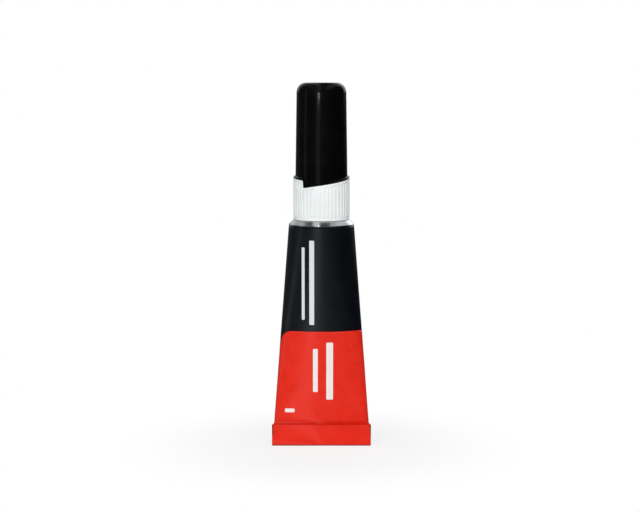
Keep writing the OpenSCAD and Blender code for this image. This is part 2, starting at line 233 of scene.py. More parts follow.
def makeRingGroup():
    # fine rings left by turning or spinning about the object's axis
    size = ringSizes
    group, given, result = newGroup("spunRings", ["Pitch"], ["Relief"])
    place = partsOf(group, given["Position"])
    reach = vectorCalc(group, "LENGTH", {0: vectorOf(group, X=place["X"], Y=place["Y"])}, "Value")
    along = plus(group, times(group, reach, size["acrossShare"]), times(group, place["Z"], size["upShare"]))
    inputs = {"W": calc(group, "DIVIDE", along, given["Pitch"]), "Scale": 1.0,
              "Detail": size["detail"], "Roughness": size["rough"]}
    rings = addNode(group, "ShaderNodeTexNoise", inputs, noise_dimensions="1D").outputs[0]
    group.links.new(rings, result["Relief"])
    return group


surfaceGrain = makeGrainGroup()
handlingRubs = makeRubGroup()
printedBar = makeBarGroup()
spunRings = makeRingGroup()


# Finishes

def spaced(named):
    # Base_Color is the socket "Base Color"
    return {name.replace("_", " "): value for name, value in named.items()}


def newFinish(name, **constants):
    finish = bpy.data.materials.new(name)
    finish.use_nodes = True
    tree = finish.node_tree
    shader = tree.nodes["Principled BSDF"]
    for label, value in spaced(constants).items():
        shader.inputs[label].default_value = value
    place = addNode(tree, "ShaderNodeTexCoord").outputs["Object"]
    position = vectorCalc(tree, "SCALE", {0: place, "Scale": 1.0 / toMetres})
    return finish, tree, shader, position


def feed(tree, shader, **sources):
    for label, source in spaced(sources).items():
        tree.links.new(source, shader.inputs[label])


def effect(tree, group, **inputs):
    return addNode(tree, "ShaderNodeGroup", spaced(inputs), node_tree=group).outputs


def grained(tree, position, look):
    # the finish's colour before any print or wear, and its grain
    grain = effect(tree, surfaceGrain, Position=position, Fineness=look["fineness"],
                   Glossy=look["glossy"], Dull=look["dull"])
    return mixedColour(tree, grain["Tone"], look["deep"], look["light"]), grain


def rubbed(tree, position, look, colour, grain):
    # colour and roughness with rubs from handling
    rubs = effect(tree, handlingRubs, Position=position, Amount=look["rubs"])["Mask"]
    rough = plus(tree, grain["Roughness"], times(tree, rubs, look["rubDull"]))
    return mixedColour(tree, rubs, colour, look["rubbed"]), rough


def bumped(tree, shader, relief, look):
    inputs = {"Strength": look["bump"], "Distance": look["bumpDepth"] * toMetres, "Height": relief}
    feed(tree, shader, Normal=addNode(tree, "ShaderNodeBump", inputs).outputs[0])


def endPrintAndFootShade(tree, position, edge):
    # the print of the other side shows where the sheet turns round at its two ends, and painted shade darkens
    # the colour along the foot
    place = partsOf(tree, position)
    ragged = times(tree, minus(tree, noise(tree, position, edge["ragSize"]), 0.5), edge["rag"])
    slant = times(tree, remapped(tree, place["Z"], *edge["slantRange"]), edge["slant"])
    reach = plus(tree, calc(tree, "ABSOLUTE", place["X"]), ragged, slant)
    ends = remapped(tree, reach, edge["end"] - edge["blur"], edge["end"] + edge["blur"], soft=True)
    # painted shade: the colour darkens towards the foot of the fold
    foot = remapped(tree, place["Z"], *edge["footRange"], edge["foot"], 0.0, soft=True)
    return calc(tree, "MAXIMUM", ends, foot)


def makeEnamel(name, look):
    # lacquered print on soft metal, with plain printed bars and a few rubs
    finish, tree, shader, position = newFinish(name, Specular_IOR_Level=look["gloss"])
    colour, grain = grained(tree, position, look)
    for middleX, middleZ, halfWidth, halfLength in look["bars"]:
        bar = effect(tree, printedBar, Position=position, Middle_X=middleX, Middle_Z=middleZ,
                     Half_Width=halfWidth, Half_Length=halfLength, Corner=look["barCorner"])["Mask"]
        colour = mixedColour(tree, bar, colour, look["ink"])
    colour, rough = rubbed(tree, position, look, colour, grain)
    # on the fold: print of the other side at the ends, and painted shade along the foot
    if "edge" in look:
        colour = mixedColour(tree, endPrintAndFootShade(tree, position, look["edge"]), colour, look["edge"]["colour"])
    feed(tree, shader, Base_Color=colour, Roughness=rough)
    waves = noise(tree, position, look["wave"], look["waveDetail"], look["waveRough"])
    waves = times(tree, waves, look["waveShare"])
    fine = times(tree, grain["Relief"], look["grainShare"])
    bumped(tree, shader, plus(tree, waves, fine), look)
    return finish


enamelLook = {
    "fineness": 6.0, "wave": 4.0, "waveDetail": 1.0, "waveRough": 0.4, "waveShare": 6.0, "grainShare": 0.35,
    "bumpDepth": 0.01, "rubDull": 0.2,
}
blackEnamelLook = {
    **enamelLook, "deep": (0.0007, 0.0017, 0.004, 1), "light": (0.0013, 0.0026, 0.0056, 1), "gloss": 0.5,
    "glossy": 0.27, "dull": 0.4, "bump": 0.35, "rubs": 0.12, "rubbed": (0.05, 0.055, 0.06, 1),
    # bars by middle across, middle up, half width and half length
    "bars": [(-3.75, 34.75, 0.3, 7.55), (-2.0, 34.95, 0.5, 8.8)],
    "barCorner": 0.16, "ink": (0.68, 0.7, 0.71, 1),
}
redEnamelLook = {
    **enamelLook, "deep": (0.72, 0.014, 0.002, 1), "light": (0.77, 0.018, 0.004, 1), "gloss": 0.42,
    "glossy": 0.24, "dull": 0.34, "bump": 0.22, "rubs": 0.15, "rubbed": (0.75, 0.09, 0.07, 1),
    "bars": [(-1.26, 16.45, 0.5, 4.6), (1.7, 16.3, 0.7, 6.1), (-6.6, 7.85, 1.0, 0.4)],
    "barCorner": 0.2, "ink": (0.82, 0.79, 0.76, 1),
}
# the fold's dark ends are print, and the darker band along its foot is painted shade
foldEndPrintAndFootShade = {
    "end": 10.36, "blur": 0.12, "rag": 0.5, "ragSize": 0.8, "slant": 0.3, "slantRange": (1.5, 4.5),
    "foot": 0.7, "footRange": (0.12, 0.5), "colour": (0.07, 0.005, 0.004, 1),
}
foldEnamelLook = {**redEnamelLook, "bars": [], "edge": foldEndPrintAndFootShade}


def makeMoulding(name, look):
    # moulded plastic: slight bloom in tone and gloss, fine texture from the mould
    finish, tree, shader, position = newFinish(
        name, Specular_IOR_Level=look["gloss"], Subsurface_Weight=look["depth"],
        Subsurface_Scale=look["scatter"])
    colour, grain = grained(tree, position, look)
    colour, rough = rubbed(tree, position, look, colour, grain)
    feed(tree, shader, Base_Color=colour, Roughness=rough)
    bumped(tree, shader, grain["Relief"], look)
    return finish


mouldingLook = {"scatter": 0.0006, "rubDull": 0.15, "bumpDepth": 0.006}
blackMouldingLook = {
    **mouldingLook, "deep": (0.0012, 0.0012, 0.0013, 1), "light": (0.0022, 0.0022, 0.0024, 1), "gloss": 0.2,
    "depth": 0.0, "fineness": 5.0, "glossy": 0.13, "dull": 0.22, "bump": 0.12,
    "rubs": 0.06, "rubbed": (0.02, 0.02, 0.021, 1),
}
whiteMouldingLook = {
    **mouldingLook, "deep": (0.83, 0.835, 0.83, 1), "light": (0.87, 0.875, 0.87, 1), "gloss": 0.5,
    "depth": 0.12, "fineness": 4.0, "glossy": 0.34, "dull": 0.46, "bump": 0.15,
    "rubs": 0.1, "rubbed": (0.76, 0.76, 0.75, 1),
}
naturalMouldingLook = {
    **mouldingLook, "deep": (0.72, 0.73, 0.7, 1), "light": (0.8, 0.81, 0.78, 1), "gloss": 0.5,
    "depth": 0.35, "fineness": 4.0, "glossy": 0.28, "dull": 0.42, "bump": 0.12,
    "rubs": 0.1, "rubbed": (0.66, 0.66, 0.64, 1),
}


def makeMetal(name, look):
    # bare metal with spun or drawn lines round the axis
    finish, tree, shader, position = newFinish(
        name, Metallic=1.0, Anisotropic=look["drawn"], Anisotropic_Rotation=look["drawnTurn"])
    colour, grain = grained(tree, position, look)
    tangent = addNode(tree, "ShaderNodeTangent", direction_type="RADIAL", axis="Z").outputs[0]
    feed(tree, shader, Base_Color=colour, Roughness=grain["Roughness"], Tangent=tangent)
    bumped(tree, shader, effect(tree, spunRings, Position=position, Pitch=look["pitch"])["Relief"], look)
    return finish


metalLook = {"drawnTurn": 0.25, "bumpDepth": 0.004}
bareAluminiumLook = {
    **metalLook, "deep": (0.6, 0.61, 0.63, 1), "light": (0.72, 0.73, 0.75, 1), "drawn": 0.6, "pitch": 0.07,
    "fineness": 5.0, "glossy": 0.1, "dull": 0.17, "bump": 0.12,
}
steelPinLook = {
    **metalLook, "deep": (0.5, 0.51, 0.53, 1), "light": (0.62, 0.63, 0.65, 1), "drawn": 0.3, "pitch": 0.05,
    "fineness": 6.0, "glossy": 0.16, "dull": 0.26, "bump": 0.2,
}


def makeFilm(name, look):
    # sealing film, slightly yellow and dull
    finish, tree, shader, position = newFinish(name)
    colour, grain = grained(tree, position, look)
    feed(tree, shader, Base_Color=colour, Roughness=grain["Roughness"])
    bumped(tree, shader, grain["Relief"], look)
    return finish


sealFilmLook = {
    "deep": (0.6, 0.55, 0.4, 1), "light": (0.7, 0.65, 0.5, 1),
    "fineness": 5.0, "glossy": 0.45, "dull": 0.65, "bump": 0.3, "bumpDepth": 0.004,
}


def makeGlue(name, look):
    # clear thin liquid with a faint tint
    finish, tree, shader, position = newFinish(name, Transmission_Weight=look["clear"], IOR=look["bending"])
    colour, grain = grained(tree, position, look)
    feed(tree, shader, Base_Color=colour, Roughness=grain["Roughness"])
    return finish


liquidGlueLook = {
    "deep": (0.86, 0.88, 0.84, 1), "light": (0.93, 0.94, 0.9, 1), "clear": 0.9, "bending": 1.44,
    "fineness": 2.0, "glossy": 0.02, "dull": 0.06,
}

blackEnamel = makeEnamel("blackEnamel", blackEnamelLook)
redEnamel = makeEnamel("redEnamel", redEnamelLook)
foldEnamel = makeEnamel("foldEnamel", foldEnamelLook)
blackMoulding = makeMoulding("blackMoulding", blackMouldingLook)
whiteMoulding = makeMoulding("whiteMoulding", whiteMouldingLook)
naturalMoulding = makeMoulding("naturalMoulding", naturalMouldingLook)
bareAluminium = makeMetal("bareAluminium", bareAluminiumLook)
steelPin = makeMetal("steelPin", steelPinLook)
sealFilm = makeFilm("sealFilm", sealFilmLook)
liquidGlue = makeGlue("liquidGlue", liquidGlueLook)
print("finishes: ten made")


# Geometry node helpers

weldReach = 0.0005


def newTree(name, counts, measures):
    tree = bpy.data.node_groups.new(name, "GeometryNodeTree")
    tree.interface.new_socket("Geometry", in_out="OUTPUT", socket_type="NodeSocketGeometry")
    for kind, labels in (("Int", counts), ("Float", measures), ("Material", ["Material"])):
        for label in labels:
            tree.interface.new_socket(label, in_out="INPUT", socket_type="NodeSocket" + kind)
    return tree, tree.nodes.new("NodeGroupInput").outputs


def placeOf(tree):
    return partsOf(tree, tree.nodes.new("GeometryNodeInputPosition").outputs[0])


def moved(tree, shape, spot):
    return addNode(tree, "GeometryNodeSetPosition", {"Geometry": shape, "Position": spot}).outputs[0]


def welded(tree, shape):
    inputs = {"Geometry": shape, "Distance": weldReach}
    return addNode(tree, "GeometryNodeMergeByDistance", inputs).outputs[0]


def copyTurn(tree, count):
    # the turn of each of so many even copies
    index = tree.nodes.new("GeometryNodeInputIndex").outputs[0]
    return calc(tree, "DIVIDE", times(tree, index, 2 * math.pi), count)


def spunCopies(tree, shape, count, turn, low=0.0, length=1.0):
    # copies round the axis, each at its own turn and drawn out to its own length
    foot = vectorOf(tree, Z=low)
    spots = addNode(tree, "GeometryNodePoints", {"Count": count, "Position": foot}).outputs[0]
    inputs = {"Points": spots, "Instance": shape, "Rotation": vectorOf(tree, Z=turn),
              "Scale": vectorOf(tree, X=1.0, Y=1.0, Z=length)}
    return addNode(tree, "GeometryNodeInstanceOnPoints", inputs).outputs[0]


def closeTree(tree, geometry, material):
    whole = addNode(tree, "GeometryNodeRealizeInstances", {"Geometry": geometry}).outputs[0]
    sized = addNode(tree, "GeometryNodeTransform", {"Geometry": whole, "Scale": (toMetres,) * 3}).outputs[0]
    coated = addNode(tree, "GeometryNodeSetMaterial", {"Geometry": sized, "Material": material}).outputs[0]
    addNode(tree, "NodeGroupOutput", {0: coated})


def keyOf(label):
    # the input "Half Turn" is halfTurn in a dictionary of sizes
    return label[0].lower() + label[1:].replace(" ", "")


def meshOf(tree, values):
    # the tree's result as a plain mesh
    holder = bpy.data.objects.new("holder", bpy.data.meshes.new("holder"))
    bpy.context.scene.collection.objects.link(holder)
    build = holder.modifiers.new("build", "NODES")
    build.node_group = tree
    for socket in tree.interface.items_tree:
        if socket.in_out == "INPUT":
            build[socket.identifier] = values[keyOf(socket.name)]
    graph = bpy.context.evaluated_depsgraph_get()
    mesh = bpy.data.meshes.new_from_object(holder.evaluated_get(graph), preserve_all_data_layers=True,
                                           depsgraph=graph)
    bpy.data.objects.remove(holder)
    return mesh


# Mesh helpers

sharpTurn = 38
arcShares = {"sharedSide": 0.48, "ownSide": 0.97}


def smoothed(mesh):
    mesh.shade_smooth()
    mesh.set_sharp_from_angle(angle=math.radians(sharpTurn))
    return mesh


def pieceOf(name, mesh, material):
    mesh.name = name
    mesh.materials.clear()
    mesh.materials.append(material)
    piece = bpy.data.objects.new(name, mesh)
    bpy.context.scene.collection.objects.link(piece)
    return piece


def faceOutwards(mesh, fillHoles=False):
    work = bmesh.new()
    work.from_mesh(mesh)
    if fillHoles:
        bmesh.ops.holes_fill(work, edges=work.edges)
    bmesh.ops.recalc_face_normals(work, faces=work.faces)
    work.to_mesh(mesh)
    work.free()
    return mesh


def meshFrom(points, faces):
    # a closed shell of points in millimetres, with its faces turned outwards
    mesh = bpy.data.meshes.new("shell")
    mesh.from_pydata([Vector(point) * toMetres for point in points], [], faces)
    return smoothed(faceOutwards(mesh))


def joined(mesh, *others):
    # one mesh from several, each a closed shell of its own
    work = bmesh.new()
    for part in (mesh, *others):
        work.from_mesh(part)
    work.to_mesh(mesh)
    work.free()
    for part in others:
        bpy.data.meshes.remove(part)
    return smoothed(mesh)


def thickened(piece, thickness):
    # a sheet that grows inwards from its surface
    sheet = piece.modifiers.new("sheet", "SOLIDIFY")
    sheet.thickness = thickness * toMetres
    sheet.offset = -1


def bands(loops, count, closed=False):
    # faces between loops of so many points each, and from the last loop to the first if closed
    faces = []
    for loop in range(loops if closed else loops - 1):
        here = loop * count
        there = (loop + 1) % loops * count
        for k in range(count):
            n = (k + 1) % count
            faces.append((here + k, here + n, there + n, there + k))
    return faces


def sideTo(neighbour, here):
    # the way to the next corner, and how far an arc may reach along it, nearly all if no other arc does
    side = Vector(neighbour[:2]) - here
    share = arcShares["sharedSide"] if neighbour[2] else arcShares["ownSide"]
    return side.normalized(), share * side.length


def rounded(corners, steps=5, closed=True):
    # a path through corners of (across, up, radius), with an arc on each corner that has a radius
    path = []
    for k, (across, up, radius) in enumerate(corners):
        here = Vector((across, up))
        if radius == 0 or (not closed and k in (0, len(corners) - 1)):
            path.append(here)
            continue
        back, backReach = sideTo(corners[k - 1], here)
        ahead, aheadReach = sideTo(corners[(k + 1) % len(corners)], here)
        half = back.angle(ahead) / 2
        reach = min(radius / math.tan(half), backReach, aheadReach)
        middle = here + (back + ahead).normalized() * (reach / math.cos(half))
        start = here + back * reach - middle
        sweep = start.angle_signed(here + ahead * reach - middle)
        for n in range(steps + 1):
            path.append(middle + Matrix.Rotation(-sweep * n / steps, 2) @ start)
    return path


def turnsBy(step):
    # even turns once round, in degrees
    return [step * k for k in range(round(360 / step))]


evenTurns = turnsBy(2.5)


def turnedMesh(section, turns=evenTurns):
    # a section swept round the axis, fixed or worked out for each turn
    sections = [section(turn) if callable(section) else section for turn in turns]
    # one that starts and ends on the axis is closed by poles
    poles = sections[0][0][0] == 0
    rings = list(zip(*sections))
    if poles:
        rings = rings[1:-1]
    points = []
    for ring in rings:
        for turn, (across, up) in zip(turns, ring):
            angle = math.radians(turn)
            points.append((across * math.cos(angle), across * math.sin(angle), up))
    count = len(turns)
    faces = bands(len(rings), count, closed=not poles)
    if poles:
        last = len(points) - count
        points += [(0, 0, sections[0][0][1]), (0, 0, sections[0][-1][1])]
        for k in range(count):
            n = (k + 1) % count
            faces.append((len(points) - 2, n, k))
            faces.append((len(points) - 1, last + k, last + n))
    return meshFrom(points, faces)


def ride(piece, body, node):
    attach(piece, body)
    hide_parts(node)


# Sleeve and printed panel: one wall that goes from round to flat, and a coat on its front

sleeveSizes = {
    "roundRadius": shoulderHigh.x, "roundHeight": shoulderLow.z, "foldHeight": foldHigh.z,
    "foldHalfWidth": foldHigh.x, "foldRadius": 0.18, "bellyRadius": 1.3, "bellyRise": 0.9, "bellyRound": 0.9,
    "flatShare": 0.62, "flatReach": 7.0, "rowPower": 1.5, "widenPower": 3.0, "sheet": 0.15,
    "dentDepth": 0.1, "dentSize": 6.5, "dentDetail": 1.0, "dentRough": 0.4, "columns": 193, "rows": 120,
}
panelSizes = {
    "halfTurn": math.radians(94.0), "turnShift": math.radians(11.5), "cornerTurn": math.radians(38.0),
    "cornerDrop": 4.2, "tuck": 0.06, "grow": 0.02, "coat": 0.05, "columns": 121, "rows": 70,
}
glueSizes = {"play": 0.03, "columns": 97, "rows": 40}


def makeWallTree():
    size = sleeveSizes
    tree, given = newTree("tubeWall", ["Columns", "Rows"], [
        "Round Radius", "Round Height", "Belly Radius", "Belly Height", "Belly Half Width", "Belly Round",
        "Fold Radius", "Fold Height", "Fold Half Width", "Lean", "Flat Share", "Flat Reach", "Low", "High",
        "Half Turn", "Turn Shift", "Corner Turn", "Corner Drop", "Grow", "Dent Depth", "Dent Size"])
    inputs = {"Size X": 1.0, "Size Y": 1.0, "Vertices X": given["Columns"], "Vertices Y": given["Rows"]}
    grid = addNode(tree, "GeometryNodeMeshGrid", inputs).outputs["Mesh"]
    place = placeOf(tree)
    swing = times(tree, place["X"], 2.0, given["Half Turn"])
    turn = plus(tree, swing, given["Turn Shift"])
    side = calc(tree, "SINE", turn)
    front = calc(tree, "COSINE", turn)
    # the upper edge drops at its round corners, and rows crowd towards the fold
    inset = minus(tree, given["Half Turn"], calc(tree, "ABSOLUTE", swing))
    near = clamped(tree, minus(tree, 1.0, calc(tree, "DIVIDE", inset, given["Corner Turn"])))
    arc = calc(tree, "SQRT", minus(tree, 1.0, times(tree, near, near)))
    drop = times(tree, given["Corner Drop"], minus(tree, 1.0, arc))
    share = calc(tree, "POWER", plus(tree, place["Y"], 0.5), size["rowPower"])
    span = minus(tree, minus(tree, given["High"], drop), given["Low"])
    height = calc(tree, "MULTIPLY_ADD", span, share, given["Low"])
    # shares of the way from round to belly, and from belly to fold
    flatten = remapped(tree, height, given["Round Height"], given["Belly Height"])
    pinch = remapped(tree, height, given["Belly Height"], given["Fold Height"])
    taper = blended(tree, given["Round Radius"], given["Belly Radius"], flatten)
    steepness = calc(tree, "DIVIDE", minus(tree, given["Belly Radius"], given["Fold Radius"]),
                     minus(tree, given["Belly Height"], given["Fold Height"]))
    aboveFold = minus(tree, height, given["Fold Height"])
    cove = calc(tree, "MULTIPLY_ADD", aboveFold, steepness, given["Fold Radius"])
    bend = calc(tree, "SMOOTH_MIN", taper, cove, given["Belly Round"])
    oval = blended(tree, given["Round Radius"], given["Belly Half Width"], flatten)
    halfWidth = blended(tree, oval, given["Fold Half Width"], calc(tree, "POWER", pinch, size["widenPower"]))
    lean = times(tree, given["Lean"], flatten)
    # an oval section, whose front and back turn flat towards the fold
    part = clamped(tree, calc(tree, "DIVIDE", side, given["Flat Share"]), -1.0, 1.0)
    flat = minus(tree, times(tree, part, 1.5), times(tree, times(tree, part, part, part), 0.5))
    flatTop = plus(tree, given["Belly Height"], given["Flat Reach"])
    flatness = remapped(tree, height, given["Belly Height"], flatTop, 1.0, 0.0, soft=True)
    run = times(tree, minus(tree, halfWidth, bend), blended(tree, side, flat, flatness))

    def spot(reach):
        across = calc(tree, "MULTIPLY_ADD", reach, side, run)
        return vectorOf(tree, X=across, Y=minus(tree, lean, times(tree, reach, front)), Z=height)

    # shallow dents, which die out at the round end and at the fold
    inputs = {"Vector": spot(bend), "Detail": size["dentDetail"], "Roughness": size["dentRough"],
              "Scale": calc(tree, "DIVIDE", 1.0, given["Dent Size"])}
    dents = minus(tree, addNode(tree, "ShaderNodeTexNoise", inputs).outputs[0], 0.5)
    press = times(tree, dents, given["Dent Depth"], flatten, minus(tree, 1.0, pinch))
    wall = moved(tree, grid, spot(plus(tree, bend, given["Grow"], press)))
    closeTree(tree, welded(tree, wall), given["Material"])
    return tree


wallTree = makeWallTree()


def wallMesh(**own):
    size = sleeveSizes
    girthLoss = math.pi / 2 * (size["roundRadius"] - size["bellyRadius"])
    shape = {
        **size, "lean": foldLow.y + size["foldRadius"], "bellyHalfWidth": size["bellyRadius"] + girthLoss,
        "bellyHeight": size["foldHeight"] + size["bellyRise"],
        # all the way round, unless the piece says otherwise
        "halfTurn": math.pi, "turnShift": 0.0, "cornerTurn": 1.0, "cornerDrop": 0.0, "grow": 0.0,
    }
    mesh = meshOf(wallTree, {**shape, **own})
    mesh.shade_smooth()
    return mesh


sleeveMesh = wallMesh(low=sleeveSizes["foldHeight"], high=sleeveSizes["roundHeight"], material=blackEnamel)
sleeve = pieceOf("printedSleeve", sleeveMesh, blackEnamel)
thickened(sleeve, sleeveSizes["sheet"])
ride(sleeve, "tube", "tube_sleeve")

# the panel's foot is tucked below the fold's upper edge
panelMesh = wallMesh(low=foldHigh.z - panelSizes["tuck"], high=panelHigh.z, material=redEnamel, **panelSizes)
panel = pieceOf("redPanel", panelMesh, redEnamel)
thickened(panel, panelSizes["coat"])
ride(panel, "tube", "red_panel")

# Liquid inside the wall, with a level top
glueMesh = wallMesh(low=glueLow.z + glueSizes["play"], high=glueHigh.z, material=liquidGlue,
                    grow=-sleeveSizes["sheet"] - glueSizes["play"], **glueSizes)
glue = pieceOf("liquidFill", smoothed(faceOutwards(glueMesh, fillHoles=True)), liquidGlue)
ride(glue, "tube", "glue_fill")
print("sleeve: wall, panel and filling made")


# Folded end: the two sheets rolled to the back and pressed, with their edges rounded at both sides

foldSizes = {
    "pack": 0.36, "gap": 0.05, "bend": 0.2, "bendSteps": 6, "endSteps": 6, "firstStep": 0.35, "runs": 48,
    "sag": 0.02, "sagPace": 0.45, "sagStart": 0.6,
}


def foldPath():
    size = foldSizes
    half = size["pack"] / 2
    bend = size["bend"]
    frontY = foldLow.y + half
    backY = foldHigh.y - half
    topZ = foldHigh.z - size["gap"] - half
    return rounded([
        (frontY, foldHigh.z, 0), (frontY, half, bend), (backY, half, bend), (backY, topZ, bend),
        (0, topZ, bend), (0, size["pack"] + size["gap"] + half / 2, 0)], size["bendSteps"], closed=False)


def foldSection(path, half):
    # both sides of the sheet pack along its path
    left = []
    right = []
    for k, here in enumerate(path):
        ahead = (path[min(k + 1, len(path) - 1)] - path[max(k - 1, 0)]).normalized()
        side = Vector((-ahead.y, ahead.x)) * half
        left.append(here + side)
        right.append(here - side)
    return left + right[::-1]


def makeFold():
    size = foldSizes
    path = foldPath()
    half = size["pack"] / 2
    inner = foldHigh.x - half
    # places across the fold, each with half the pack's thickness there
    stations = []
    for k in range(size["endSteps"]):
        angle = math.pi / 2 * (k + size["firstStep"]) / size["endSteps"]
        stations.append((-foldHigh.x + half * (1 - math.cos(angle)), half * math.sin(angle)))
    middle = [(inner * (2 * k / size["runs"] - 1), half) for k in range(size["runs"] + 1)]
    stations = stations + middle + [(-x, thick) for x, thick in stations[::-1]]
    points = []
    for x, thick in stations:
        drift = size["sag"] * math.sin(x * size["sagPace"] + size["sagStart"])
        points += [(x, y + drift, z) for y, z in foldSection(path, thick)]
    count = 2 * len(path)
    faces = bands(len(stations), count)
    # both ends are closed across the sheet's thickness
    last = (len(stations) - 1) * count
    for k in range(len(path) - 1):
        end = (k, count - 1 - k, count - 2 - k, k + 1)
        faces.append(end)
        faces.append(tuple(last + point for point in (end[0], end[3], end[2], end[1])))
    return meshFrom(points, faces)


fold = pieceOf("foldedEnd", makeFold(), foldEnamel)
ride(fold, "tube", "end_fold")
print("fold: made")


# Screw ridges, shared by neck, collar and cap

def makeRidgeTree():
    tree, given = newTree("screwRidge", ["Starts", "Steps"], [
        "Root Radius", "Height", "Root Width", "Crest Width", "Lead", "Low", "Turn", "Start", "Fade"])
    inputs = {"Size X": 1.0, "Size Y": 4.0, "Vertices X": given["Steps"], "Vertices Y": 5}
    grid = addNode(tree, "GeometryNodeMeshGrid", inputs).outputs["Mesh"]
    place = placeOf(tree)
    along = plus(tree, place["X"], 0.5)
    # five rows go once round the ridge: root, crest, crest, root and back to the first
    row = calc(tree, "MODULO", calc(tree, "ROUND", plus(tree, place["Y"], 2.0)), 4.0)
    upper = calc(tree, "GREATER_THAN", row, 1.5)
    crest = calc(tree, "LESS_THAN", calc(tree, "ABSOLUTE", minus(tree, row, 1.5)), 1.0)
    shortest = calc(tree, "MINIMUM", along, minus(tree, 1.0, along))
    fade = remapped(tree, shortest, 0.0, given["Fade"], soft=True)
    width = blended(tree, given["Root Width"], given["Crest Width"], crest)
    rise = times(tree, width, minus(tree, upper, 0.5), fade)
    reach = calc(tree, "MULTIPLY_ADD", times(tree, given["Height"], crest), fade, given["Root Radius"])
    turn = times(tree, given["Turn"], along)
    climb = times(tree, given["Lead"], calc(tree, "DIVIDE", turn, 2 * math.pi))
    angle = plus(tree, turn, given["Start"])
    spot = vectorOf(tree, X=times(tree, reach, calc(tree, "COSINE", angle)),
                    Y=times(tree, reach, calc(tree, "SINE", angle)),
                    Z=plus(tree, given["Low"], climb, rise))
    ridge = welded(tree, moved(tree, grid, spot))
    copies = spunCopies(tree, ridge, given["Starts"], copyTurn(tree, given["Starts"]))
    closeTree(tree, copies, given["Material"])
    return tree


ridgeTree = makeRidgeTree()


def ridgeMesh(sizes, material):
    turns = {"turn": math.radians(sizes["turn"]), "start": math.radians(sizes["start"])}
    return faceOutwards(meshOf(ridgeTree, {**sizes, **turns, "material": material}))


# Shoulder and neck: spun metal cone, threaded neck

shoulderSizes = {
    "rim": 0.12, "slope": 36, "steep": 42, "knee": 5.6, "wall": 0.55, "neckRadius": 3.3, "bore": 2.2,
    "pitch": 1.2, "rimRound": 0.1, "kneeRound": 1.5, "neckRound": 0.3, "mouthRound": 0.15,
    "boreRound": 0.08, "underRound": 0.2,
}
slopeTan = math.tan(math.radians(shoulderSizes["slope"]))
steepTan = math.tan(math.radians(shoulderSizes["steep"]))


def shoulderHeight(radius):
    # steep from the rim to a knee, then straight on to the neck
    size = shoulderSizes
    foot = shoulderLow.z + size["rim"]
    kneeZ = foot + (shoulderHigh.x - size["knee"]) * steepTan
    if radius > size["knee"]:
        return foot + (shoulderHigh.x - radius) * steepTan
    neckZ = foot + (shoulderHigh.x - size["neckRadius"]) * slopeTan
    return kneeZ + (neckZ - kneeZ) * (size["knee"] - radius) / (size["knee"] - size["neckRadius"])


def shoulderSection():
    size = shoulderSizes
    low = shoulderLow.z
    top = shoulderHigh.z
    rimR = shoulderHigh.x
    kneeR = size["knee"]
    neckR = size["neckRadius"]
    boreR = size["bore"]
    under = size["wall"] / math.cos(math.radians(size["slope"]))
    footR = rimR - (under - size["rim"]) / slopeTan
    return rounded([
        (rimR, low, 0), (rimR, low + size["rim"], size["rimRound"]),
        (kneeR, shoulderHeight(kneeR), size["kneeRound"]), (neckR, shoulderHeight(neckR), size["neckRound"]),
        (neckR, top, size["mouthRound"]), (boreR, top, size["boreRound"]),
        (boreR, shoulderHeight(boreR) - under, size["underRound"]), (footR, low, 0)])


neckRidge = {
    "starts": 1, "steps": 161, "rootRadius": 3.2, "height": 0.5, "rootWidth": 0.504, "crestWidth": 0.24,
    "lead": shoulderSizes["pitch"], "turn": 777.6, "start": 0, "fade": 0.05,
}
neckRidge["low"] = shoulderHeight(shoulderSizes["neckRadius"]) + neckRidge["rootWidth"]
shoulderMesh = joined(turnedMesh(shoulderSection()), ridgeMesh(neckRidge, bareAluminium))
shoulder = pieceOf("spunShoulder", shoulderMesh, bareAluminium)
ride(shoulder, "tube", "tube_shoulder")
print("shoulder: made")


# Stepped edge between collar and cap

edgeSizes = {
    "stepTurn": -131.0, "rampTurn": 130.0, "span": 180.0, "gap": 0.1, "drop": 0.22, "rise": 1.95,
    "flatFall": 0.42, "soft": 1.2, "softSteps": 6, "turnStep": 2.0,
}
rampFoot = capLow.z - edgeSizes["gap"]


def edgeRise(turn):
    # a ramp up, a flat that falls a little, and a step down that is rounded over a small turn
    size = edgeSizes
    past = (turn - size["stepTurn"] + size["soft"]) % size["span"]
    along = max(past - size["soft"], 0) / size["rampTurn"]
    beyond = max(past - size["soft"] - size["rampTurn"], 0) / (size["span"] - size["rampTurn"])
    level = size["rise"] * min(along, 1) - size["flatFall"] * beyond - size["drop"]
    if past < 2 * size["soft"]:
        share = past / (2 * size["soft"])
        brink = size["rise"] - size["flatFall"] - size["drop"]
        return brink + (level - brink) * share * share * (3 - 2 * share)
    return level


def edgeTurns():
    # even turns, and closer ones at both steps
    size = edgeSizes
    turns = turnsBy(size["turnStep"])
    for step in (size["stepTurn"], size["stepTurn"] + size["span"]):
        closer = range(-size["softSteps"] - 1, size["softSteps"] + 2)
        turns += [step + size["soft"] * k / size["softSteps"] for k in closer]
    return sorted(set(round(turn % 360, 4) for turn in turns))


# Collar: ribbed skirt, stepped top, threaded spigot

collarSizes = {
    "seatGap": 0.06, "skirt": 0.8, "recess": 0.48, "recessDrop": 0.1, "socket": 0.75, "bore": 2.2,
    "deckDrop": 0.9, "spigotRadius": 3.75, "ribs": 44, "ribDepth": 0.12, "ridgeDrop": 3.15,
    "lowBand": 0.4, "topBand": 0.5, "bandOut": 0.06, "bandIn": 0.04, "bandRound": 0.05, "footRound": 0.06,
    "topRound": 0.12, "stepRound": 0.15, "spigotRound": 0.2, "mouthRound": 0.1, "deckRound": 0.05,
    "innerRound": 0.1, "arcSteps": 3,
}


def collarSeat(radius):
    return shoulderHeight(radius) + collarSizes["seatGap"]


